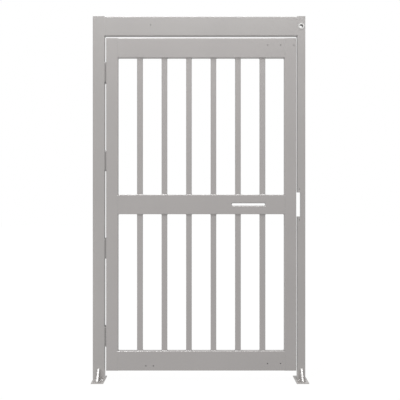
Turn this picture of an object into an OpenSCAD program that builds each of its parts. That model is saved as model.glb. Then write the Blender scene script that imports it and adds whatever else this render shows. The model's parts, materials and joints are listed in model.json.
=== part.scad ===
// Full-height security gate: one barred leaf hung in a frame of two posts and a header.
// The origin is the centre of the hinge post's foot, on the ground. +X runs to the lock
// post, -Y is the front, +Y the rear, where the hinge barrels stand, and +Z is up.
// All sizes are millimetres.

/* [Frame] */
// Height from the ground to the top of the posts' caps
frame_h = 2286; // [2000:1:2500]
// Depth of every frame and leaf tube, front to back
tube_depth = 50; // [46:1:80]
// Wall of the frame and leaf tubes
tube_wall = 4; // [2.5:0.5:5]
// Outside corner radius of the frame and leaf tubes
tube_corner_r = 4; // [4:0.5:8]
// Width of the post that carries the hinges
hinge_post_w = 74; // [50:1:75]
// Width of the post that takes the lock's bolt
lock_post_w = 50; // [46:1:75]
// Height of the header between the posts
header_h = 120; // [80:1:180]
// Plate that closes the top of each post
cap_t = 3; // [2:0.5:6]
// Opening left between a coped tube end and the tube that it meets
cope_gap = 0.1; // [0.05:0.05:0.2]

/* [Feet] */
// Width of a base plate, along the gate
foot_w = 76; // [75:1:120]
// Length of a base plate, front to back
foot_l = 215; // [200:1:320]
// Thickness of a base plate
foot_t = 6; // [6:1:20]
// Diameter of an anchor hole
anchor_hole_d = 13; // [9:0.5:14]
// Distance between the anchor holes on either side of a gusset
anchor_pitch_x = 42; // [40:1:46]
// Distance from a post's face to the anchor holes beside it
anchor_reach = 36; // [30:1:50]
// Thickness of the gussets between post and base plate
gusset_t = 10; // [6:1:12]
// Reach of a gusset along the base plate
gusset_l = 78; // [60:1:85]
// Height of a gusset above the base plate
gusset_h = 74; // [50:1:120]
// Blunt end of a gusset, above the plate and at its top
gusset_nose = 8; // [3:1:15]

/* [Leaf] */
// Width of the leaf
leaf_w = 1191; // [1000:1:1250]
// Height of the leaf's underside above the ground
ground_gap = 65; // [40:1:150]
// Running gap between the leaf and the hinge post
hinge_gap = 10; // [9.5:0.5:14]
// Running gap between the leaf and the lock post
lock_gap = 7; // [7:0.5:16]
// Running gap between the leaf and the header
head_gap = 15; // [8:1:40]
// Width of the leaf's two stiles
stile_w = 74; // [50:1:100]
// Height of each of the leaf's three rails
rail_h = 122; // [80:1:160]
// Height of the mid rail's and the strike's centre above the ground
lock_z = 1106; // [950:1:1250]

/* [Bars] */
// Side of a square bar
bar_side = 35; // [20:1:38]
// Wall of a square bar
bar_wall = 2.5; // [1.5:0.5:4]
// Outside corner radius of a square bar
bar_corner_r = 3; // [2:0.5:4]
// Bars in each of the leaf's two panels
bar_count = 6; // [4:1:8]

/* [Pass-through slot] */
// Width of the slot's throat
slot_w = 212; // [120:1:260]
// Height of the slot's throat
slot_h = 15; // [12:1:30]
// Distance from the leaf's lock edge to the middle of the slot
slot_inset = 298; // [230:1:420]
// Drop of the slot below the middle of the mid rail
slot_drop = 0; // [0:0.5:8]
// Flare of the slot's mouth, all round
slot_flare = 7; // [3:0.5:10]
// Land of the liner round the flare, flush with the rail
slot_land = 2; // [1:0.5:4]

/* [Strike cut-out] */
// Clear height of the cut-out
strike_h = 151; // [100:1:200]
// Clear depth of the cut-out into the lock post
strike_depth = 21.5; // [12:0.5:22]
// Plate that lines the cut-out
strike_plate_t = 3; // [2:0.5:4]
// Distance from an end of the cut-out to the fixing hole beyond it
strike_hole_offset = 21; // [12:0.5:40]
// Distance from the lock post's inner face to those fixing holes
strike_hole_inset = 12.5; // [8:0.5:20]
// Diameter of those fixing holes
strike_hole_d = 5; // [3:0.5:6]

/* [Wire hole] */
// Bore of the bushing for the lock's wires
wire_bore_d = 23; // [12:0.5:24]
// Outside diameter of the bushing's sleeve
wire_sleeve_d = 28; // [26:0.5:30]
// Outside diameter of the bushing's collars
wire_collar_d = 38; // [34:0.5:38]
// Height of a collar above the post's face
wire_collar_t = 2.5; // [1.5:0.5:4]
// Distance from the top of the caps to the bushing
wire_drop = 62; // [40:1:90]

/* [Fixing holes] */
// Diameter of the fixing holes in the header, stiles and rails
fixing_hole_d = 6.5; // [4:0.5:8]
// Distance between neighbouring fixing holes beside the lock stile
fixing_pitch = 82; // [76:0.5:100]
// Distance from the leaf's lock edge to the first fixing hole
fixing_inset = 16; // [10:0.5:19]
// Depth of the top rail's fixing holes below the leaf's top
top_fixing_drop = 44; // [20:1:60]
// Height of the bottom rail's fixing holes above the leaf's underside
bottom_fixing_rise = 45; // [20:1:60]
// Distance from the hinge stile to the bottom rail's first hinge-side hole
stop_fixing_inset = 175; // [60:1:300]
// Distance between the bottom rail's two hinge-side holes
stop_fixing_pitch = 47; // [30:1:100]
// Height of those two holes above the leaf's underside
stop_fixing_rise = 30; // [20:1:60]
// Distance from the hinge post to the header's fixing hole
header_fixing_inset = 288.5; // [60:0.5:600]
// Height of the header's fixing hole above the header's underside
header_fixing_rise = 67; // [20:1:70]

/* [Hinges] */
// Height of a hinge
hinge_h = 127; // [100:1:150]
// Depth of the top hinge's middle below the leaf's top
top_hinge_drop = 213; // [150:1:300]
// Height of the bottom hinge's middle above the leaf's underside
bottom_hinge_rise = 212; // [150:1:300]
// Thickness of the hinge leaves
hinge_leaf_t = 4; // [3:0.5:4.5]
// Width of a hinge leaf, from the pin's axis to its front edge
hinge_leaf_w = 57; // [48:1:57]
// Corner radius of the hinge leaves
hinge_corner_r = 6; // [2:0.5:10]
// Outside diameter of the knuckles
knuckle_d = 16; // [13:0.5:18]
// Knuckles on a hinge, an odd number
knuckle_count = 5; // [3:2:7]
// Running gap between neighbouring knuckles
knuckle_gap = 0.5; // [0.3:0.1:1]
// Diameter of the hinge pin
pin_d = 9; // [6:0.5:10]
// Radial running clearance of the pin in its knuckles
pin_clearance = 0.05; // [0.02:0.01:0.1]
// Height of the pin's button heads
pin_head_h = 4; // [2:0.5:8]
// Diameter of the pin's button heads
pin_head_d = 14; // [11:0.5:16]
// Screws in each hinge leaf
hinge_screw_count = 4; // [2:1:5]
// Diameter of the hinge leaves' screw holes
hinge_screw_d = 6.5; // [4:0.5:8]
// Diameter of their countersinks
hinge_sink_d = 12; // [9:0.5:13]
// Distance from a hinge leaf's front edge to its outer row of screws
hinge_screw_edge = 17; // [10:1:20]
// Distance between the two rows of screws, which are staggered
hinge_screw_stagger = 14; // [0:1:16]

/* [Hidden] */
$fn = 64;

paint = [0.66, 0.65, 0.64];
leaf_paint = [0.69, 0.68, 0.67];
bushing_grey = [0.80, 0.80, 0.79];
hinge_paint = [0.60, 0.59, 0.58];
pin_steel = [0.55, 0.55, 0.56];

// What a cutter runs past the surface that it cuts
past = 1;
// Radial gap between a knuckle and the notch that it turns in
knuckle_relief = 0.5;
// Gap between the knuckles and the plane of the tubes' rear faces
barrel_standoff = 1;
// Inside corner radius of a rolled tube with a thick wall
tight_inner_r = 1;

header_bottom_z = frame_h - cap_t - header_h;
leaf_top_z = header_bottom_z - head_gap;
leaf_h = leaf_top_z - ground_gap;
leaf_x = hinge_post_w / 2 + hinge_gap;
leaf_end_x = leaf_x + leaf_w;
lock_face_x = leaf_end_x + lock_gap;
lock_post_x = lock_face_x + lock_post_w / 2;
post_h = frame_h - cap_t - foot_t;

rail_x = leaf_x + stile_w;
rail_l = leaf_w - 2 * stile_w;
bar_gap = (rail_l - bar_count * bar_side) / (bar_count + 1);

slot_x = leaf_end_x - slot_inset;
slot_z = lock_z - slot_drop;

wire_z = frame_h - wire_drop;
collar_edge_r = 0.8 * wire_collar_t;
face_y = -tube_depth / 2;

hinge_axis_x = hinge_post_w / 2 + hinge_gap / 2;
hinge_axis_y = tube_depth / 2 + barrel_standoff + knuckle_d / 2;
knuckle_h = hinge_h / knuckle_count;
hinge_names = ["top", "upper", "lower", "bottom"];
last_hinge = len(hinge_names) - 1;
top_hinge_z = leaf_top_z - top_hinge_drop;
bottom_hinge_z = ground_gap + bottom_hinge_rise;
hinge_pitch = (top_hinge_z - bottom_hinge_z) / last_hinge;

bars = [for (i = [1:bar_count]) i];

// ---- Profiles and tubes ----

// Rectangle with rounded corners, centred on the origin
module rounded_rect(w, d, r) {
    square([w - 2 * r, d], center = true);
    square([w, d - 2 * r], center = true);
    for (x = [-1, 1], y = [-1, 1])
        translate([x * (w / 2 - r), y * (d / 2 - r)]) circle(r);
}

// Hollow of a tube whose outside is w by d with corners of radius r
module tube_hollow(w, d, r, wall) {
    rounded_rect(w - 2 * wall, d - 2 * wall, max(r - wall, tight_inner_r));
}

// Section of a rectangular hollow tube
module tube_section(w, d, r, wall) {
    difference() {
        rounded_rect(w, d, r);
        tube_hollow(w, d, r, wall);
    }
}

// Outside of an upright tube, grown by a gap all round, as a cutter for what meets it
module upright_envelope(x, w, gap) {
    translate([x, 0, -past])
        linear_extrude(frame_h + 2 * past)
            rounded_rect(w + 2 * gap, tube_depth + 2 * gap, tube_corner_r + gap);
}

// Tube that lies along +X between two upright tubes, its ends coped round their corners
module cross_tube(x, length, z, h, left_x, left_w, right_x, right_w) {
    difference() {
        translate([x - tube_corner_r, 0, z])
            rotate([90, 0, 90])
                linear_extrude(length + 2 * tube_corner_r)
                    tube_section(tube_depth, h, tube_corner_r, tube_wall);
        upright_envelope(left_x, left_w, cope_gap);
        upright_envelope(right_x, right_w, cope_gap);
    }
}

// Hole for a fixing through the front wall of a tube
module front_hole(x, z, d) {
    translate([x, face_y - past, z])
        rotate([-90, 0, 0]) cylinder(h = tube_wall + 2 * past, d = d);
}

// ---- Frame ----

// Open tube that stands on its base plate and runs up to its cap
module post(x, w) {
    translate([x, 0, foot_t])
        linear_extrude(post_h) tube_section(w, tube_depth, tube_corner_r, tube_wall);
}

module hinge_post() {
    color(paint) post(0, hinge_post_w);
}

module lock_post() {
    cut_depth = strike_depth + strike_plate_t;
    cut_h = strike_h + 2 * strike_plate_t;
    color(paint) difference() {
        post(lock_post_x, lock_post_w);
        translate([lock_face_x - past, face_y - past, lock_z - cut_h / 2])
            cube([cut_depth + past, tube_depth + 2 * past, cut_h]);
        for (side = [-1, 1])
            front_hole(
                lock_face_x + strike_hole_inset,
                lock_z + side * (strike_h / 2 + strike_hole_offset),
                strike_hole_d
            );
        translate([lock_post_x, 0, wire_z])
            rotate([90, 0, 0]) cylinder(h = tube_depth + 2 * past, d = wire_sleeve_d, center = true);
    }
}

module header() {
    x = hinge_post_w / 2;
    color(paint) difference() {
        cross_tube(
            x, lock_face_x - x, header_bottom_z + header_h / 2, header_h,
            0, hinge_post_w, lock_post_x, lock_post_w
        );
        front_hole(x + header_fixing_inset, header_bottom_z + header_fixing_rise, fixing_hole_d);
    }
}

module post_cap(x, w) {
    color(paint) translate([x, 0, frame_h - cap_t])
        linear_extrude(cap_t) rounded_rect(w, tube_depth, tube_corner_r);
}

// Plate with an anchor hole on each side of both gussets
module base_plate(x) {
    color(paint) difference() {
        translate([x - foot_w / 2, -foot_l / 2, 0]) cube([foot_w, foot_l, foot_t]);
        for (side = [-1, 1], end = [-1, 1])
            translate([x + side * anchor_pitch_x / 2, end * (tube_depth / 2 + anchor_reach), -past])
                cylinder(h = foot_t + 2 * past, d = anchor_hole_d);
    }
}

// Plate stood on edge between a post and its base plate; end is -1 at the front, 1 behind
module gusset(x, end) {
    outline = [
        [0, 0], [gusset_l, 0], [gusset_l, gusset_nose], [gusset_nose, gusset_h], [0, gusset_h]
    ];
    color(paint) translate([x - end * gusset_t / 2, end * tube_depth / 2, foot_t])
        rotate([90, 0, end * 90]) linear_extrude(gusset_t) polygon(outline);
}

// Bent plate that lines the strike cut-out: a back and two short legs
module strike_box() {
    outer_h = strike_h + 2 * strike_plate_t;
    color(paint) translate([lock_face_x, face_y, lock_z])
        difference() {
            translate([0, 0, -outer_h / 2])
                cube([strike_depth + strike_plate_t, tube_depth, outer_h]);
            translate([-past, -past, -strike_h / 2])
                cube([strike_depth + past, tube_depth + 2 * past, strike_h]);
        }
}

// Half section of a collar, from its bore out to a rounded edge
module collar_section() {
    outer = wire_collar_d / 2;
    inner = wire_bore_d / 2;
    translate([inner, 0]) square([outer - inner - collar_edge_r, wire_collar_t]);
    translate([inner, 0]) square([outer - inner, wire_collar_t - collar_edge_r]);
    translate([outer - collar_edge_r, wire_collar_t - collar_edge_r]) intersection() {
        circle(collar_edge_r);
        square(collar_edge_r);
    }
}

// Sleeve through both walls of the lock post, with a round-edged collar on each face
module wire_bushing() {
    color(bushing_grey) translate([lock_post_x, 0, wire_z]) rotate([90, 0, 0])
        rotate_extrude() {
            translate([wire_bore_d / 2, face_y])
                square([(wire_sleeve_d - wire_bore_d) / 2, tube_depth]);
            for (side = [0, 1]) mirror([0, side])
                translate([0, tube_depth / 2]) collar_section();
        }
}

// ---- Leaf ----

// Upright of the leaf: a tube closed by a plate at both ends
module stile(x) {
    translate([x + stile_w / 2, 0, ground_gap]) difference() {
        linear_extrude(leaf_h) rounded_rect(stile_w, tube_depth, tube_corner_r);
        translate([0, 0, cap_t])
            linear_extrude(leaf_h - 2 * cap_t)
                tube_hollow(stile_w, tube_depth, tube_corner_r, tube_wall);
    }
}

module hinge_stile() {
    color(leaf_paint) stile(leaf_x);
}

module lock_stile() {
    color(leaf_paint) difference() {
        stile(leaf_end_x - stile_w);
        front_hole(leaf_end_x - fixing_inset, leaf_top_z - top_fixing_drop, fixing_hole_d);
    }
}

// Rail between the two stiles, given by the height of its middle
module rail(z) {
    cross_tube(
        rail_x, rail_l, z, rail_h,
        leaf_x + stile_w / 2, stile_w, leaf_end_x - stile_w / 2, stile_w
    );
}

module top_rail() {
    color(leaf_paint) difference() {
        rail(leaf_top_z - rail_h / 2);
        for (i = [1, 2])
            front_hole(
                leaf_end_x - fixing_inset - i * fixing_pitch, leaf_top_z - top_fixing_drop, fixing_hole_d
            );
    }
}

module mid_rail() {
    color(leaf_paint) difference() {
        rail(lock_z);
        translate([slot_x, 0, slot_z]) slot_prism(slot_flare + slot_land, tube_depth + 2 * past);
    }
}

module bottom_rail() {
    color(leaf_paint) difference() {
        rail(ground_gap + rail_h / 2);
        for (i = [1, 2])
            front_hole(
                leaf_end_x - fixing_inset - i * fixing_pitch, ground_gap + bottom_fixing_rise, fixing_hole_d
            );
        for (i = [0, 1])
            front_hole(
                rail_x + stop_fixing_inset + i * stop_fixing_pitch,
                ground_gap + stop_fixing_rise,
                fixing_hole_d
            );
    }
}

// Straight part of the slot, between the centres of its round ends
function slot_run() = slot_w - slot_h;

// Slot with round ends, cut front to back, its throat grown by a margin all round
module slot_prism(margin, depth) {
    r = slot_h / 2 + margin;
    rotate([90, 0, 0]) linear_extrude(depth, center = true) {
        square([slot_run(), 2 * r], center = true);
        for (side = [-1, 1]) translate([side * slot_run() / 2, 0]) circle(r);
    }
}

// Half section of the liner's opening, from the slot's middle out to its wall; both
// mouths flare by a quarter round
module slot_bore_section() {
    face = tube_depth / 2;
    translate([0, -face - past]) square([slot_h / 2, 2 * (face + past)]);
    for (side = [0, 1]) mirror([0, side])
        translate([slot_h / 2, face - slot_flare]) difference() {
            square([slot_flare, slot_flare + past]);
            translate([slot_flare, 0]) circle(slot_flare);
        }
}

// Sleeve through the mid rail, with mouths that flare out to the rail's two faces
module slot_liner() {
    color(leaf_paint) translate([slot_x, 0, slot_z]) difference() {
        slot_prism(slot_flare + slot_land - cope_gap, tube_depth);
        rotate([0, 90, 0]) linear_extrude(slot_run(), center = true)
            for (side = [0, 1]) mirror([side, 0]) slot_bore_section();
        for (side = [-1, 1]) translate([side * slot_run() / 2, 0, 0])
            rotate([90, 0, 0]) rotate_extrude() slot_bore_section();
    }
}

// Square tube that stands between two rails
module bar(i, z0, z1) {
    x = rail_x + i * bar_gap + (i - 0.5) * bar_side;
    color(leaf_paint) translate([x, 0, z0])
        linear_extrude(z1 - z0) tube_section(bar_side, bar_side, bar_corner_r, bar_wall);
}

module upper_bar(i) {
    bar(i, lock_z + rail_h / 2, leaf_top_z - rail_h);
}

module lower_bar(i) {
    bar(i, ground_gap + rail_h, lock_z - rail_h / 2);
}

// ---- Hinges ----

// Knuckle k of a hinge, counted from the bottom, grown by a margin all round and up and
// down
module knuckle(k, margin, end_margin) {
    translate([0, 0, k * knuckle_h - hinge_h / 2 + knuckle_gap / 2 - end_margin])
        cylinder(h = knuckle_h - knuckle_gap + 2 * end_margin, d = knuckle_d + 2 * margin);
}

// Countersunk screw hole, its mouth at x = 0 and its axis along +X into the plate
module screw_hole() {
    sink = (hinge_sink_d - hinge_screw_d) / 2;
    rotate([0, 90, 0]) {
        translate([0, 0, -past]) cylinder(h = hinge_leaf_t + 2 * past, d = hinge_screw_d);
        cylinder(h = sink, d1 = hinge_sink_d, d2 = hinge_screw_d);
    }
}

// Half of a hinge, about its pin, with its plate on the +X side; parity 0 takes the
// bottom knuckle and every second one above it, and parity 1 the others
module hinge_half(parity) {
    plate_x = hinge_gap / 2 - hinge_leaf_t;
    screw_pitch = hinge_h / hinge_screw_count;
    outer_row_y = hinge_screw_edge - hinge_leaf_w;
    difference() {
        union() {
            translate([plate_x, 0, 0]) rotate([90, 0, 90]) linear_extrude(hinge_leaf_t) {
                translate([-hinge_leaf_w + hinge_corner_r, -hinge_h / 2])
                    square([hinge_leaf_w - hinge_corner_r, hinge_h]);
                translate([-hinge_leaf_w, -hinge_h / 2 + hinge_corner_r])
                    square([hinge_leaf_w, hinge_h - 2 * hinge_corner_r]);
                for (end = [-1, 1])
                    translate([-hinge_leaf_w + hinge_corner_r, end * (hinge_h / 2 - hinge_corner_r)])
                        circle(hinge_corner_r);
            }
            for (k = [parity : 2 : knuckle_count - 1]) knuckle(k, 0, 0);
        }
        for (k = [1 - parity : 2 : knuckle_count - 1]) knuckle(k, knuckle_relief, knuckle_gap);
        cylinder(h = hinge_h + 2 * past, d = pin_d + 2 * pin_clearance, center = true);
        for (i = [0 : hinge_screw_count - 1])
            translate([
                plate_x,
                outer_row_y + (i % 2) * hinge_screw_stagger,
                (i + 0.5) * screw_pitch - hinge_h / 2
            ]) screw_hole();
    }
}

module at_hinge(i) {
    translate([hinge_axis_x, hinge_axis_y, top_hinge_z - i * hinge_pitch]) children();
}

module hinge_post_leaf(i) {
    color(hinge_paint) at_hinge(i) mirror([1, 0, 0]) hinge_half(0);
}

module hinge_gate_leaf(i) {
    color(hinge_paint) at_hinge(i) hinge_half(1);
}

// Pin with a domed button head above the top knuckle and below the bottom one
module hinge_pin(i) {
    dome_r = (pow(pin_head_d / 2, 2) + pow(pin_head_h, 2)) / (2 * pin_head_h);
    color(pin_steel) at_hinge(i) {
        cylinder(h = hinge_h + past, d = pin_d, center = true);
        for (end = [0, 1]) mirror([0, 0, end])
            translate([0, 0, hinge_h / 2])
                rotate_extrude() intersection() {
                    square([pin_head_d / 2, pin_head_h]);
                    translate([0, pin_head_h - dome_r]) circle(dome_r);
                }
    }
}

// ---- Drawing ----

hinge_post();
lock_post();
header();
post_cap(0, hinge_post_w);  // hinge_post_cap
post_cap(lock_post_x, lock_post_w);  // lock_post_cap
base_plate(0);  // hinge_post_base_plate
base_plate(lock_post_x);  // lock_post_base_plate
gusset(0, -1);  // hinge_post_front_gusset
gusset(0, 1);  // hinge_post_rear_gusset
gusset(lock_post_x, -1);  // lock_post_front_gusset
gusset(lock_post_x, 1);  // lock_post_rear_gusset
strike_box();
wire_bushing();
hinge_stile();
lock_stile();
top_rail();
mid_rail();
bottom_rail();
slot_liner();
for (i = bars) {
    upper_bar(i);
    lower_bar(i);
}
for (i = [0 : last_hinge]) {
    hinge_post_leaf(i);
    hinge_gate_leaf(i);
    hinge_pin(i);
}
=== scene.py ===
"""Looks of the full-height security gate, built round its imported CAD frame.

The CAD nodes keep their shapes and get powder-coat, steel and nylon materials. What is added
here is what a welder and a fitter add: fillet and seam welds, and the hinges' countersunk
screws. Lengths are in metres, save where a comment says millimetres, in the frame's own axes:
+X to the lock post, -Y to the front, +Z up.
"""
import json
import math

import bmesh
import bpy
import numpy as np
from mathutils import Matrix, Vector


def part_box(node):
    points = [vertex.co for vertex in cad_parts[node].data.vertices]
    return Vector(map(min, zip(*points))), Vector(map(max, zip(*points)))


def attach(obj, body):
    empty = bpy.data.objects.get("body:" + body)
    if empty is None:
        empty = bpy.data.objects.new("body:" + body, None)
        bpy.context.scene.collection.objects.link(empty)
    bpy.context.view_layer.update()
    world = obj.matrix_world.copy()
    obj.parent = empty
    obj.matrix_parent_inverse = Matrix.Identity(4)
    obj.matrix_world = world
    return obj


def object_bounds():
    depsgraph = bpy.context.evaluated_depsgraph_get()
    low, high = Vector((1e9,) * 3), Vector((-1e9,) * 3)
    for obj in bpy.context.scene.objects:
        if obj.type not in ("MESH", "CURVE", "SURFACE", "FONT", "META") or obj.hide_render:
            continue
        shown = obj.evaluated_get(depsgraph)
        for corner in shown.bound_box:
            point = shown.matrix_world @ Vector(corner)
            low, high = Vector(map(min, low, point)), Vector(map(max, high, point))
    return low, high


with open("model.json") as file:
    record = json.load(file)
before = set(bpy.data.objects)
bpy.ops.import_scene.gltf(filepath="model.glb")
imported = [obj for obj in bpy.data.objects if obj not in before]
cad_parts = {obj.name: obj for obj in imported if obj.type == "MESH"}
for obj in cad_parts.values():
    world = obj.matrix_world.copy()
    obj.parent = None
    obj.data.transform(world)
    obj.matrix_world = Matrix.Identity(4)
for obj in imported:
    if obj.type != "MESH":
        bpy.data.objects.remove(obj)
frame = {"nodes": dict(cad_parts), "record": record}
cad_low, cad_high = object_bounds()

MM = 0.001
FRAME_BODY = "frame"
LEAF_BODY = "leaf"
POSTS = ("hinge_post", "lock_post")
RAILS = ("top_rail", "mid_rail", "bottom_rail")
PANELS = ("upper", "lower")
HINGES = ("top", "upper", "lower", "bottom")
UP = (0.0, 0.0, 1.0)
DOWN = (0.0, 0.0, -1.0)
RNG = np.random.default_rng(296)


# ---- Materials ----

# Colours are linear red, green and blue.
PAINT = (0.272, 0.262, 0.257)
LEAF_PAINT = (0.2765, 0.2640, 0.2603)
HINGE_PAINTED_SHADE = 0.9             # painted shade: the hinges, in the frame's paint, are coloured a little darker
PAINT_WEAR = 0.12            # how strongly rubbed patches show
HINGE_WEAR = 0.5             # and on the hinges
# Pale dusting and painted bounce light: the frame's paint is made paler near the ground.
PALE_DUSTING_AND_BOUNCE = (0.52, 0.50, 0.48)
DUSTING_AND_BOUNCE_SHARE = 0.38           # how much pale dusting and painted bounce light lies on what stands on the ground
DUSTING_AND_BOUNCE_TOP = 0.11              # height where the dusting and painted bounce light end
DUSTING_AND_BOUNCE_FULL = 0.01             # and where it is at its fullest
PIN_METAL = (0.46, 0.46, 0.47)
SCREW_METAL = (0.34, 0.34, 0.35)
PALE_NYLON = (0.47, 0.47, 0.46)
RING_STRETCH = (60.0, 60.0, 2600.0)    # turns noise into rings round a vertical pin
PEEL_DEPTH = 0.07 * MM       # orange peel of the powder coat
SPATTER_DEPTH = 0.08 * MM    # fine spatter under the coat of a weld
RING_DEPTH = 0.04 * MM       # turning marks of the steel
GRAIN_DEPTH = 0.03 * MM      # grain of the nylon
SATIN_COAT = {
    "IOR": 1.5,
    "Specular IOR Level": 1.0,
    "Coat Weight": 1.0,
    "Coat Roughness": 0.20,
    "Coat IOR": 1.5,
}


class Tree:
    """Short calls for building a node tree."""

    def __init__(self, tree):
        self.tree = tree

    def node(self, kind, inputs=(), **settings):
        """A node with its settings; each input is a value, or a socket to link."""
        made = self.tree.nodes.new("ShaderNode" + kind)
        for key, value in settings.items():
            setattr(made, key, value)
        for key, value in dict(inputs).items():
            if isinstance(value, bpy.types.NodeSocket):
                self.tree.links.new(value, made.inputs[key])
            else:
                made.inputs[key].default_value = value
        return made

    def math(self, operation, *operands):
        """One arithmetic operation on its operands, in their order."""
        return self.node("Math", enumerate(operands), operation=operation).outputs["Value"]


class Nodes(Tree):
    """Short calls for building one material, all in the piece's own metres."""

    def __init__(self, name):
        self.material = bpy.data.materials.new(name)
        self.material.use_nodes = True
        super().__init__(self.material.node_tree)
        self.shader = self.tree.nodes["Principled BSDF"]
        self.place = self.node("TexCoord").outputs["Object"]

    def noise(self, scale, detail=2.0, roughness=0.5, place=None):
        """Fractal noise from about 0 to 1, with scale cells to the metre."""
        inputs = {
            "Vector": place or self.place,
            "Scale": scale,
            "Detail": detail,
            "Roughness": roughness,
        }
        return self.node("TexNoise", inputs).outputs["Fac"]

    def ramp(self, value, low, high, to_low=0.0, to_high=1.0):
        """A value between low and high, drawn out to between to_low and to_high."""
        inputs = {
            "Value": value,
            "From Min": low,
            "From Max": high,
            "To Min": to_low,
            "To Max": to_high,
        }
        return self.node("MapRange", inputs).outputs["Result"]

    def mix(self, factor, a, b):
        """Colour a, giving way to colour b as the factor grows."""
        made = self.node("Mix", {"Factor": factor, "A": a, "B": b}, data_type="RGBA")
        return made.outputs["Result"]

    def height(self):
        """Height above the ground, in metres."""
        return self.node("SeparateXYZ", {"Vector": self.place}).outputs["Z"]

    def bump(self, height, distance, strength):
        """A surface normal tilted by a height from 0 to 1 that stands for a distance."""
        inputs = {"Height": height, "Distance": distance, "Strength": strength}
        return self.node("Bump", inputs).outputs["Normal"]

    def wire(self, name, value):
        """Links a socket to one of the shader's inputs."""
        self.tree.links.new(value, self.shader.inputs[name])

    def fix(self, values):
        """Sets shader inputs that are the same all over the surface."""
        for name, value in values.items():
            self.shader.inputs[name].default_value = value


def scaled(color, factor):
    """A colour made lighter or darker by a factor."""
    return tuple(c * factor for c in color)


def shade(color, factor=1.0):
    """The same, with full alpha, as a node takes it."""
    return scaled(color, factor) + (1.0,)


def powder_coat(name, color, wear, dusting_and_bounce_share=0.0):
    """Satin powder coat: orange peel, faint clouding, rubbed patches, and a pale dusting with
    painted bounce light, paler towards the ground, on what stands on the ground."""
    look = Nodes(name)
    cloud = look.noise(2.3, detail=4.0)
    tone = look.mix(look.ramp(cloud, 0.35, 0.65), shade(color, 0.975), shade(color, 1.02))
    speck = look.ramp(look.noise(620.0, detail=1.0), 0.68, 0.78)
    tone = look.mix(look.math("MULTIPLY", speck, 0.12), tone, shade(color, 0.7))
    # Pale dusting and painted bounce light, paler towards the ground and in patches.
    low_down = look.ramp(look.height(), DUSTING_AND_BOUNCE_TOP, DUSTING_AND_BOUNCE_FULL)
    patches = look.ramp(look.noise(24.0, detail=5.0), 0.3, 0.7, to_low=0.6)
    dusting_and_bounce_mask = look.math("MULTIPLY", low_down, patches)
    tone = look.mix(look.math("MULTIPLY", dusting_and_bounce_mask, dusting_and_bounce_share), tone, shade(PALE_DUSTING_AND_BOUNCE))
    rub = look.ramp(look.noise(55.0, detail=6.0, roughness=0.65), 0.60, 0.72)
    tone = look.mix(look.math("MULTIPLY", rub, wear), tone, shade(color, 0.82))
    look.wire("Base Color", tone)
    sheen = look.noise(38.0, detail=4.0)
    look.wire("Roughness", look.ramp(sheen, 0.3, 0.7, to_low=0.28, to_high=0.38))
    peel = look.noise(430.0, detail=2.0, roughness=0.45)
    look.wire("Normal", look.bump(peel, PEEL_DEPTH, strength=0.6))
    look.fix(SATIN_COAT)
    return look.material


def bright_steel(name, color):
    """Turned steel with fine rings round a vertical pin and a little oil staining."""
    look = Nodes(name)
    stretched = look.node("Mapping", {"Vector": look.place, "Scale": RING_STRETCH})
    rings = look.noise(1.0, place=stretched.outputs["Vector"])
    stain = look.ramp(look.noise(140.0, detail=5.0, roughness=0.6), 0.45, 0.68)
    look.wire("Base Color", look.mix(stain, shade(color), shade(color, 0.6)))
    look.wire("Roughness", look.ramp(stain, 0.0, 1.0, to_low=0.26, to_high=0.5))
    look.wire("Normal", look.bump(rings, RING_DEPTH, strength=0.6))
    look.fix({"Metallic": 1.0})
    return look.material


def nylon(name, color):
    """Moulded nylon: a fine even grain and a soft sheen."""
    look = Nodes(name)
    grain = look.noise(1400.0, detail=2.0)
    cloud = look.ramp(look.noise(60.0, detail=3.0), 0.4, 0.6)
    look.wire("Base Color", look.mix(cloud, shade(color, 0.96), shade(color, 1.03)))
    look.wire("Roughness", look.ramp(grain, 0.3, 0.7, to_low=0.32, to_high=0.42))
    look.wire("Normal", look.bump(grain, GRAIN_DEPTH, strength=0.6))
    return look.material


def weld_coat(name, color):
    """The same powder coat over a weld, with the fine spatter under it."""
    look = Nodes(name)
    spatter = look.noise(900.0, detail=3.0, roughness=0.6)
    cloud = look.ramp(look.noise(90.0, detail=3.0), 0.35, 0.7)
    look.wire("Base Color", look.mix(cloud, shade(color, 0.94), shade(color, 1.05)))
    look.wire("Roughness", look.ramp(spatter, 0.3, 0.7, to_low=0.30, to_high=0.42))
    look.wire("Normal", look.bump(spatter, SPATTER_DEPTH, strength=0.7))
    look.fix(SATIN_COAT)
    return look.material


FRAME_COAT = powder_coat("frame_powder_coat", PAINT, PAINT_WEAR, dusting_and_bounce_share=DUSTING_AND_BOUNCE_SHARE)
LEAF_COAT = powder_coat("leaf_powder_coat", LEAF_PAINT, PAINT_WEAR)
# The hinges get a darker copy of the frame's paint, as painted shade.
HINGE_COAT = powder_coat("hinge_powder_coat", scaled(PAINT, HINGE_PAINTED_SHADE), HINGE_WEAR)
WELD_COAT = weld_coat("weld_powder_coat", PAINT)
PIN_STEEL = bright_steel("pin_steel", PIN_METAL)
BUSHING_NYLON = nylon("bushing_nylon", PALE_NYLON)
SCREW_STEEL = bright_steel("screw_steel", SCREW_METAL)
SLOT_COATS = {
    "frame_paint": FRAME_COAT,
    "leaf_paint": LEAF_COAT,
    "hinge_paint": HINGE_COAT,
    "pin_steel": PIN_STEEL,
    "bushing_nylon": BUSHING_NYLON,
}


def dress_cad_nodes():
    """Gives every CAD node the material of its record slot."""
    slots = {part["node"]: part["material_slot"] for part in frame["record"]["subparts"]}
    for name, node in frame["nodes"].items():
        node.data.materials.clear()
        node.data.materials.append(SLOT_COATS[slots[name]])


# ---- Pieces ----

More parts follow.
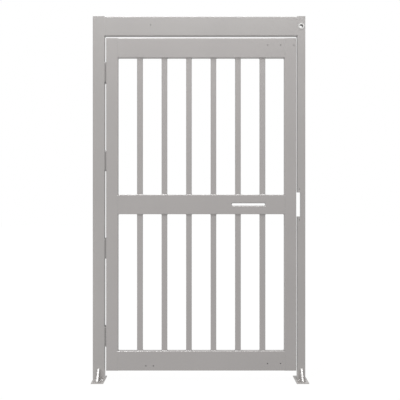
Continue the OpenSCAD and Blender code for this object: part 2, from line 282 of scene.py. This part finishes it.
RING_STEP = 0.7 * MM      # spacing of a weld bead's rings along its path
RIPPLE_PITCH = 3.2 * MM   # mean spacing of a weld bead's ripples
SINK = 0.25 * MM          # how far a bead's hidden edges lie inside the steel
SEAM_SINK = 0.06 * MM     # and the visible edges of a seam
SECTION_POINTS = 7        # points across the side of a bead that shows
DRIFT_WAVES = 6           # sine waves that make up a bead's wandering
WAVE_SIZES = (0.3, 1.0)   # least and greatest size of one wave
WAVES_PEAK = 2.5          # about the peak of the waves' sum
RIPPLE_DRIFT = 0.9        # how unevenly the ripples follow each other
RIPPLE_BEND = 0.5         # how far a ripple's ends lie off its middle, as a share of the pitch
RIPPLE_STEEPNESS = 1.4    # how steeply a fillet's ripple rises
LEG_DRIFT = 0.08          # how far a fillet's leg wanders, as a share of itself
WIDTH_DRIFT = 0.10        # and a seam's width
CROWN_DRIFT = 0.12        # and its crown
FILLET_BULGE = 0.04       # bulge of a fillet between its ripples, as a share of its throat
FILLET_RIPPLE = 0.15      # and what each ripple adds
SEAM_LEAST = 0.8          # height of a seam between its ripples, as a share of its crown
SEAM_RIPPLE = 0.25        # and what each ripple adds
TAPER_LEAST = 0.34        # size of a bead at an open end, as a share of the whole
TAPER_RISE = 0.66         # and what it gains from there to its full size


def add_piece(name, vertices, faces, material, body, smooth=True):
    """A mesh piece that rides on a CAD body."""
    mesh = bpy.data.meshes.new(name)
    mesh.from_pydata([tuple(v) for v in vertices], [], faces)
    mesh.validate()
    outward = bmesh.new()
    outward.from_mesh(mesh)
    bmesh.ops.recalc_face_normals(outward, faces=outward.faces)
    outward.to_mesh(mesh)
    outward.free()
    mesh.polygons.foreach_set("use_smooth", [smooth] * len(mesh.polygons))
    mesh.materials.append(material)
    piece = bpy.data.objects.new(name, mesh)
    bpy.context.scene.collection.objects.link(piece)
    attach(piece, body)
    return piece


class Bead:
    """Weld beads gathered into one mesh. Each bead is swept along a path, and two unit vectors
    at each point of the path, a and b, span its section there."""

    def __init__(self):
        self.vertices = []
        self.faces = []

    def sweep(self, path, a, b, sections, closed):
        """Adds rings of section points, closed into a loop or capped at both ends."""
        rings, points = sections.shape[:2]
        start = len(self.vertices)
        places = path[:, None] + sections[..., :1] * a[:, None] + sections[..., 1:] * b[:, None]
        self.vertices.extend(places.reshape(-1, 3))
        last = rings if closed else rings - 1
        for i in range(last):
            here, there = start + i * points, start + (i + 1) % rings * points
            for k in range(points):
                after = (k + 1) % points
                self.faces.append((here + k, here + after, there + after, there + k))
        if not closed:
            self.faces.append(tuple(range(start + points - 1, start - 1, -1)))
            end = start + (rings - 1) * points
            self.faces.append(tuple(range(end, end + points)))

    def fillet(self, path, a, b, leg, closed=False):
        """A rippled fillet in the corner of two surfaces, which lie along a and b."""
        sections = fillet_sections(path, leg, closed)
        self.sweep(path, a, b, sections, closed)

    def seam(self, path, across, out, width, crown, closed=False):
        """A low dressed bead over a butt joint: across lies in the surface, out leaves it."""
        sections = seam_sections(path, width, crown, closed)
        self.sweep(path, across, out, sections, closed)

    def make(self, name, body):
        """The piece that all the beads make together."""
        return add_piece(name, self.vertices, self.faces, WELD_COAT, body)


def travel(path):
    """Distance along a path at each of its points."""
    return np.concatenate([[0.0], np.cumsum(np.linalg.norm(np.diff(path, axis=0), axis=1))])


def wander(count, closed, strength):
    """A slow random drift along a bead, equal at both ends where the bead closes."""
    t = np.linspace(0.0, 1.0, count, endpoint=not closed)
    waves = [
        RNG.uniform(*WAVE_SIZES) * np.sin(2 * math.pi * (k * t + RNG.uniform()))
        for k in range(1, DRIFT_WAVES + 1)
    ]
    return 1.0 + strength * np.sum(waves, axis=0) / WAVES_PEAK


def end_taper(length, along, reach):
    """1 along a bead, falling to a third within reach of its open ends."""
    edge = np.minimum(along, length - along) / reach
    return TAPER_LEAST + TAPER_RISE * np.clip(edge, 0.0, 1.0) ** 0.5


def ripple_phase(along, length, closed, lag):
    """Which ripple each section point lies in. The lag bends the ripples into crescents, and
    they come at an uneven pace, as a hand-held torch lays them."""
    ripples = max(1, round(length / RIPPLE_PITCH))
    pace = wander(len(along), closed, RIPPLE_DRIFT) - 1.0
    return (along / length * ripples + pace)[:, None] + lag[None, :]


def path_length(path, closed):
    """Length of a path, with the way back to its start where it closes."""
    length = travel(path)[-1]
    if closed:
        length += np.linalg.norm(path[0] - path[-1])
    return length


def fillet_sections(path, leg, closed):
    """Section points of a convex fillet, its crest marked by crescent ripples."""
    count = len(path)
    along = travel(path)
    length = path_length(path, closed)
    size = leg * wander(count, closed, LEG_DRIFT)
    if not closed:
        size = size * end_taper(length, along, leg)
    t = np.linspace(0.0, 1.0, SECTION_POINTS)
    angle = t * math.pi / 2
    phase = ripple_phase(along, length, closed, RIPPLE_BEND * (2 * t - 1) ** 2)
    ripple = FILLET_RIPPLE * (phase % 1.0) ** RIPPLE_STEEPNESS
    bulge = 1.0 + (FILLET_BULGE + ripple) * np.sin(2 * angle)[None, :]
    radius = size[:, None] * bulge / (np.cos(angle) + np.sin(angle))[None, :]
    surface = np.stack([radius * np.cos(angle), radius * np.sin(angle)], axis=2)
    surface[:, 0, 1] = -SINK
    surface[:, -1, 0] = -SINK
    root = np.full((count, 1, 2), -SINK)
    return np.concatenate([surface, root], axis=1)


def seam_sections(path, width, crown, closed):
    """Section points of a low crown whose edges sink into the surface."""
    count = len(path)
    along = travel(path)
    length = path_length(path, closed)
    half = width / 2 * wander(count, closed, WIDTH_DRIFT)
    tall = crown * wander(count, closed, CROWN_DRIFT)
    if not closed:
        tall = tall * end_taper(length, along, width)
    t = np.linspace(-1.0, 1.0, SECTION_POINTS)
    phase = ripple_phase(along, length, closed, RIPPLE_BEND * t ** 2)
    ripple = SEAM_RIPPLE * (phase % 1.0)
    rise = tall[:, None] * (1 - t ** 2)[None, :] * (SEAM_LEAST + ripple) - SEAM_SINK
    surface = np.stack([half[:, None] * t[None, :], rise], axis=2)
    under = np.stack([surface[:, -1], surface[:, 0]], axis=1)
    under[..., 1] = -SINK
    return np.concatenate([surface, under], axis=1)


def line(start, end):
    """Points from start to end, a ring step apart."""
    start, end = np.array(start, float), np.array(end, float)
    count = max(4, round(np.linalg.norm(end - start) / RING_STEP) + 1)
    return start + (end - start) * np.linspace(0.0, 1.0, count)[:, None]


def same(vector, path):
    """One direction, repeated for every point of a path."""
    return np.tile(np.array(vector, float), (len(path), 1))


def rounded_loop(centre, width, depth, radius, z):
    """A rounded rectangle round a tube at height z, and its outward normals."""
    points, normals = [], []
    # Which way each corner lies, and where its arc starts, in half turns.
    corners = [(1, 1, 0.0), (-1, 1, 0.5), (-1, -1, 1.0), (1, -1, 1.5)]
    arc_steps = max(3, round(radius * math.pi / 2 / RING_STEP))
    for i, (sx, sy, turn) in enumerate(corners):
        cx = centre[0] + sx * (width / 2 - radius)
        cy = centre[1] + sy * (depth / 2 - radius)
        for k in range(arc_steps + 1):
            angle = math.pi * (turn + 0.5 * k / arc_steps)
            normal = (math.cos(angle), math.sin(angle), 0.0)
            points.append((cx + radius * normal[0], cy + radius * normal[1], z))
            normals.append(normal)
        following = corners[(i + 1) % 4]
        nx = centre[0] + following[0] * (width / 2 - radius) + radius * normal[0]
        ny = centre[1] + following[1] * (depth / 2 - radius) + radius * normal[1]
        side = line(points[-1], (nx, ny, z))[1:-1]
        points.extend(side)
        normals.extend([normal] * len(side))
    return np.array(points, float), np.array(normals, float)


# ---- Welds ----

TUBE_CORNER = 4 * MM     # outside corner radius of the big tubes
BAR_CORNER = 3 * MM      # outside corner radius of the bars
BAR_LEG = 3.6 * MM
RAIL_LEG = 4.5 * MM
FOOT_LEG = 4.8 * MM
GUSSET_LEG = 0.8 * FOOT_LEG
SEAM_WIDTH = 7 * MM
SEAM_CROWN = 0.5 * MM
SEAM_SHIFT = 0.6 * TUBE_CORNER    # how far a seam lies over the upright's rounded corner
SEAM_STOP = TUBE_CORNER / 2       # how far short of the tube's top and bottom it ends
PLATE_SEAM_WIDTH = 4.2 * MM    # over the edge of a 3 mm plate
PLATE_SEAM_CROWN = 0.35 * MM


def weld_bars():
    """A fillet right round both ends of every bar, one piece for each rail face."""
    for panel in PANELS:
        for end, grow in (("foot", UP), ("head", DOWN)):
            bead = Bead()
            names = sorted(node for node in frame["nodes"] if node.startswith(f"{panel}_bar_"))
            for name in names:
                low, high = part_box(name)
                z = low.z if end == "foot" else high.z
                path, out = rounded_loop(
                    (low + high) / 2, high.x - low.x, high.y - low.y, BAR_CORNER, z
                )
                bead.fillet(path, out, same(grow, path), BAR_LEG, closed=True)
            bead.make(f"{panel}_bar_{end}_welds", LEAF_BODY)


def weld_tube_end(bead, x, toward, low, high, top_leg, bottom_leg):
    """Welds the end of a cross tube to the upright at x; toward is the direction, +1 or -1
    along X, from the upright into the cross tube."""
    flat = (high.y - low.y) / 2 - TUBE_CORNER
    mid_y = (low.y + high.y) / 2
    away = (toward, 0.0, 0.0)
    for z, grow, leg in ((high.z, UP, top_leg), (low.z, DOWN, bottom_leg)):
        if leg:
            path = line((x, mid_y - flat, z), (x, mid_y + flat, z))
            bead.fillet(path, same(away, path), same(grow, path), leg)
    for y, out in ((low.y, -1.0), (high.y, 1.0)):
        path = line((x, y, low.z + SEAM_STOP), (x, y, high.z - SEAM_STOP))
        path = path - np.array((toward * SEAM_SHIFT, 0.0, 0.0))
        bead.seam(path, same(away, path), same((0.0, out, 0.0), path), SEAM_WIDTH, SEAM_CROWN)


def weld_rails():
    """Fillets above and below each rail end, and dressed seams in front and behind."""
    stile_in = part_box("hinge_stile")[1].x
    stile_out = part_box("lock_stile")[0].x
    for name in RAILS:
        low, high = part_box(name)
        bead = Bead()
        top = 0.0 if name == "top_rail" else RAIL_LEG
        bottom = 0.0 if name == "bottom_rail" else RAIL_LEG
        weld_tube_end(bead, stile_in, 1.0, low, high, top, bottom)
        weld_tube_end(bead, stile_out, -1.0, low, high, top, bottom)
        bead.make(f"{name}_welds", LEAF_BODY)


def weld_header():
    """A fillet below each end of the header, and dressed seams in front and behind."""
    low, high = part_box("header")
    bead = Bead()
    weld_tube_end(bead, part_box("hinge_post")[1].x, 1.0, low, high, 0.0, RAIL_LEG)
    weld_tube_end(bead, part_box("lock_post")[0].x, -1.0, low, high, 0.0, RAIL_LEG)
    bead.make("header_welds", FRAME_BODY)


def weld_gusset(bead, node, end):
    """Fillets down both sides of a gusset, on the post's face and on the base plate."""
    low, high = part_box(node)
    root_y, tip_y = (high.y, low.y) if end < 0 else (low.y, high.y)
    along = (0.0, float(end), 0.0)
    for x, side in ((low.x, -1.0), (high.x, 1.0)):
        out = (side, 0.0, 0.0)
        path = line((x, root_y, low.z + FOOT_LEG), (x, root_y, high.z - SINK))
        bead.fillet(path, same(out, path), same(along, path), GUSSET_LEG)
        path = line((x, root_y + end * FOOT_LEG, low.z), (x, tip_y - end * SINK, low.z))
        bead.fillet(path, same(out, path), same(UP, path), GUSSET_LEG)


def weld_foot(post, plate, gussets):
    """Fillets round the foot of a post, broken where the gussets stand."""
    low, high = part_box(post)
    plate_low, plate_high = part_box(plate)
    gusset_low, gusset_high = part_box(gussets[0])
    z = plate_high.z
    bead = Bead()
    for end, y in ((-1.0, low.y), (1.0, high.y)):
        out = (0.0, end, 0.0)
        for x0, x1 in ((low.x + TUBE_CORNER, gusset_low.x), (gusset_high.x, high.x - TUBE_CORNER)):
            path = line((x0, y, z), (x1, y, z))
            bead.fillet(path, same(out, path), same(UP, path), FOOT_LEG)
    if plate_high.x - high.x > FOOT_LEG:
        for side, x in ((-1.0, low.x), (1.0, high.x)):
            path = line((x, low.y + TUBE_CORNER, z), (x, high.y - TUBE_CORNER, z))
            bead.fillet(path, same((side, 0.0, 0.0), path), same(UP, path), FOOT_LEG)
    for node, end in zip(gussets, (-1, 1)):
        weld_gusset(bead, node, end)
    bead.make(f"{post}_foot_welds", FRAME_BODY)


def weld_cap(post):
    """A dressed seam round a post, over the joint of its tube and its cap."""
    low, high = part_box(f"{post}_cap")
    bead = Bead()
    path, out = rounded_loop(
        (low + high) / 2, high.x - low.x, high.y - low.y, TUBE_CORNER, low.z
    )
    bead.seam(path, same(UP, path), out, PLATE_SEAM_WIDTH, PLATE_SEAM_CROWN, closed=True)
    bead.make(f"{post}_cap_welds", FRAME_BODY)


def weld_strike():
    """Dressed seams over the joint of the strike box with the two faces of its post."""
    low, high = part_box("strike_box")
    start = low.x + TUBE_CORNER
    bead = Bead()
    for y, out in ((low.y, (0.0, -1.0, 0.0)), (high.y, (0.0, 1.0, 0.0))):
        for z in (low.z, high.z):
            path = line((start, y, z), (high.x, y, z))
            bead.seam(path, same(UP, path), same(out, path), PLATE_SEAM_WIDTH, PLATE_SEAM_CROWN)
        path = line((high.x, y, low.z), (high.x, y, high.z))
        across = same((1.0, 0.0, 0.0), path)
        bead.seam(path, across, same(out, path), PLATE_SEAM_WIDTH, PLATE_SEAM_CROWN)
    bead.make("strike_box_welds", FRAME_BODY)


# ---- Hinge screws ----

HINGE_PLATE = 4 * MM       # thickness of a hinge leaf
SCREW_EDGE = 17 * MM       # outer row of screws, from the leaf's front edge
SCREW_STAGGER = 14 * MM    # and the inner row behind it
SCREW_COUNT = 4
SCREW_SIDES = 24
SCREW_BELOW = 0.15 * MM    # how far a head sits below the face of its leaf

# One screw, in millimetres. The profile gives radius and depth, from the top of the head
# round its edge and down the cone to the end of the shank.
SCREW_PROFILE = ((5.6, 0.0), (5.75, 0.0), (5.85, 0.12), (5.85, 0.3), (3.0, 2.9), (3.0, 4.6))
SOCKET_FLATS = 4.0         # hexagon socket, across its flats
SOCKET_DEPTH = 1.9
SOCKET_CHAMFER = 0.2


def hexagon_radius(angle, flats):
    """Distance from the centre of a hexagon to its edge."""
    sixth = math.pi / 3
    return flats / 2 / math.cos((angle % sixth) - sixth / 2)


def screw_rings(turn):
    """Radius and depth, ring by ring from the socket's floor out over the head to the shank."""
    angles = [turn + 2 * math.pi * k / SCREW_SIDES for k in range(SCREW_SIDES)]
    socket = [hexagon_radius(a - turn, SOCKET_FLATS) for a in angles]
    rings = [
        [(r, SOCKET_DEPTH) for r in socket],
        [(r, SOCKET_CHAMFER) for r in socket],
        [(r + SOCKET_CHAMFER, 0.0) for r in socket],
    ]
    rings += [[(r, depth)] * SCREW_SIDES for r, depth in SCREW_PROFILE]
    return angles, rings


def add_screw(vertices, faces, mouth, inward, turn):
    """A countersunk socket screw, its head just under the face of a hinge leaf. The mouth is
    the middle of the hole in that face, and inward is +1 or -1 along X, into the steel."""
    start = len(vertices)
    angles, rings = screw_rings(turn)
    for ring in rings:
        for angle, (radius, depth) in zip(angles, ring):
            x = mouth[0] + inward * (SCREW_BELOW + depth * MM)
            y = mouth[1] + radius * MM * math.cos(angle)
            z = mouth[2] + radius * MM * math.sin(angle) * inward
            vertices.append((x, y, z))
    faces.append(tuple(range(start, start + SCREW_SIDES)))
    for i in range(len(rings) - 1):
        here = start + i * SCREW_SIDES
        there = here + SCREW_SIDES
        for k in range(SCREW_SIDES):
            after = (k + 1) % SCREW_SIDES
            faces.append((here + after, here + k, there + k, there + after))
    end = start + (len(rings) - 1) * SCREW_SIDES
    faces.append(tuple(range(end + SCREW_SIDES - 1, end - 1, -1)))


def screw_hinge(name, leaf, face_x, inward, body):
    """The screws of one hinge leaf, in two staggered rows."""
    low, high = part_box(leaf)
    vertices, faces = [], []
    for i in range(SCREW_COUNT):
        y = low.y + SCREW_EDGE + (i % 2) * SCREW_STAGGER
        z = low.z + (i + 0.5) * (high.z - low.z) / SCREW_COUNT
        add_screw(vertices, faces, (face_x, y, z), inward, RNG.uniform(0.0, math.pi / 3))
    add_piece(name, vertices, faces, SCREW_STEEL, body, smooth=False)


def screw_hinges():
    """The screws of every hinge, in the post and in the gate."""
    post_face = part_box("hinge_post")[1].x + HINGE_PLATE
    gate_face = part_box("hinge_stile")[0].x - HINGE_PLATE
    for name in HINGES:
        hinge = f"{name}_hinge"
        screw_hinge(f"{hinge}_post_screws", f"{hinge}_post_leaf", post_face, -1.0, FRAME_BODY)
        screw_hinge(f"{hinge}_gate_screws", f"{hinge}_gate_leaf", gate_face, 1.0, LEAF_BODY)


# ---- Stage, lights and camera ----

WHITE = (1.0, 1.0, 1.0, 1.0)
STUDIO_TINT = (1.0, 0.985, 0.975, 1.0)
FLOOR_SIZE = 60.0
FLOOR_DARK = (0.020, 0.020, 0.020, 1.0)    # dark under its glow, so the lights add little
FLOOR_PALE = (0.026, 0.026, 0.026, 1.0)
FLOOR_DROP = 0.5 * MM       # how far it lies below the base plates
FLOOR_GLOW = 0.965          # the floor is a lit sweep, as pale as the backdrop
WORLD_FRONT = 0.78          # radiance of the studio in front of the gate
WORLD_BACK = 0.50           # and behind it
WORLD_TOP = 0.35            # how much brighter it is overhead
WORLD_FLOOR = 0.3           # and below, off the pale floor

# Each light's place and target are given from the gate's middle, at floor height.
SOFTBOX_PLACE = (0.0, -1.3, 8.0)
SOFTBOX_TARGET = (0.0, -1.3, 0.0)
SOFTBOX_SIZE = (5.2, 0.65)
SOFTBOX_POWER = 150.0
KEY_PLACE = (0.1, -1.2, 3.1)
KEY_TARGET = (0.0, 0.0, 2.1)
KEY_SIZE = (3.4, 0.8)
KEY_POWER = 16.2
SIDE_PLACE = (-1.9, -4.2, 9.6)       # throws the shadows to the lock side
SIDE_TARGET = (0.0, 0.0, 0.4)
SIDE_SIZE = (1.05, 1.05)
SIDE_POWER = 330.0
FILL_PLACE = (-1.6, -1.6, 0.35)
FILL_TARGET = (0.0, 0.0, 0.2)
FILL_SIZE = (1.2, 0.6)
FILL_POWER = 4.5

CAMERA_DISTANCE = 5.1       # from the posts' front faces
CAMERA_HEIGHT = 1.134
VIEW_WIDTH = 2.505          # width of the picture at the posts' front faces
SENSOR = 36.0               # width of the camera's sensor, in millimetres


def make_floor():
    """A pale floor that the camera sees, but that throws no light of its own on the gate."""
    mesh = bpy.data.meshes.new("floor")
    half = FLOOR_SIZE / 2
    corners = [(-half, -half, 0), (half, -half, 0), (half, half, 0), (-half, half, 0)]
    mesh.from_pydata(corners, [], [(0, 1, 2, 3)])
    floor = bpy.data.objects.new("floor", mesh)
    floor.location.z = -FLOOR_DROP
    bpy.context.scene.collection.objects.link(floor)
    look = Nodes("pale_floor")
    look.wire("Base Color", look.mix(look.noise(0.7), FLOOR_DARK, FLOOR_PALE))
    look.fix({
        "Roughness": 0.9,
        "Specular IOR Level": 0.1,
        "Emission Color": WHITE,
        "Emission Strength": FLOOR_GLOW,
    })
    mesh.materials.append(look.material)
    floor.visible_diffuse = False
    floor.visible_glossy = False


def studio_level(sky):
    """Radiance of the studio by direction: from front to back, and up and down."""
    facing = sky.node("TexCoord").outputs["Generated"]
    way = sky.node("SeparateXYZ", {"Vector": facing}).outputs
    half_step = (WORLD_BACK - WORLD_FRONT) / 2
    middle = (WORLD_FRONT + WORLD_BACK) / 2
    level = sky.math("MULTIPLY_ADD", way["Y"], half_step, middle)
    above = sky.math("MAXIMUM", way["Z"], 0.0)
    level = sky.math("MULTIPLY_ADD", above, WORLD_TOP, level)
    below = sky.math("MINIMUM", way["Z"], 0.0)
    return sky.math("MULTIPLY_ADD", below, -WORLD_FLOOR, level)


def make_world():
    """A white backdrop for the eye, and a soft grey studio for the light it sheds."""
    world = bpy.data.worlds.new("studio")
    world.use_nodes = True
    sky = Tree(world.node_tree)
    studio = sky.node("Background", {"Color": STUDIO_TINT, "Strength": studio_level(sky)})
    backdrop = sky.tree.nodes["Background"]
    backdrop.inputs["Color"].default_value = WHITE
    backdrop.inputs["Strength"].default_value = 1.0
    choice = sky.node("MixShader", {
        0: sky.node("LightPath").outputs["Is Camera Ray"],
        1: studio.outputs["Background"],
        2: backdrop.outputs["Background"],
    })
    surface = sky.tree.nodes["World Output"].inputs["Surface"]
    sky.tree.links.new(choice.outputs["Shader"], surface)
    bpy.context.scene.world = world


def make_area(name, place, target, size, power):
    """A rectangular light; its place and target are given from the gate's middle."""
    gate_middle = Vector(((cad_low.x + cad_high.x) / 2, 0.0, 0.0))
    light = bpy.data.lights.new(name, "AREA")
    light.shape = "RECTANGLE"
    light.size, light.size_y = size
    light.energy = power
    lamp = bpy.data.objects.new(name, light)
    lamp.location = gate_middle + Vector(place)
    aim = Vector(target) - Vector(place)
    lamp.rotation_euler = aim.to_track_quat("-Z", "Y").to_euler()
    lamp.visible_camera = False
    bpy.context.scene.collection.objects.link(lamp)


def make_camera():
    """A level camera, square to the gate's front."""
    centre = (cad_low + cad_high) / 2
    face_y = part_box("hinge_post")[0].y
    data = bpy.data.cameras.new("camera")
    data.sensor_width = SENSOR
    data.lens = SENSOR * CAMERA_DISTANCE / VIEW_WIDTH
    camera = bpy.data.objects.new("camera", data)
    camera.location = (centre.x, face_y - CAMERA_DISTANCE, CAMERA_HEIGHT)
    camera.rotation_euler = (math.pi / 2, 0.0, 0.0)
    bpy.context.scene.collection.objects.link(camera)
    bpy.context.scene.camera = camera


# ---- The scene ----

weld_bars()
weld_rails()
weld_header()
for post in POSTS:
    weld_foot(post, f"{post}_base_plate", [f"{post}_front_gusset", f"{post}_rear_gusset"])
    weld_cap(post)
weld_strike()
screw_hinges()
dress_cad_nodes()

make_floor()
make_world()
make_area("overhead", SOFTBOX_PLACE, SOFTBOX_TARGET, SOFTBOX_SIZE, SOFTBOX_POWER)
make_area("key", KEY_PLACE, KEY_TARGET, KEY_SIZE, KEY_POWER)
make_area("side", SIDE_PLACE, SIDE_TARGET, SIDE_SIZE, SIDE_POWER)
make_area("low_fill", FILL_PLACE, FILL_TARGET, FILL_SIZE, FILL_POWER)
make_camera()
bpy.context.scene.view_settings.view_transform = "Standard"
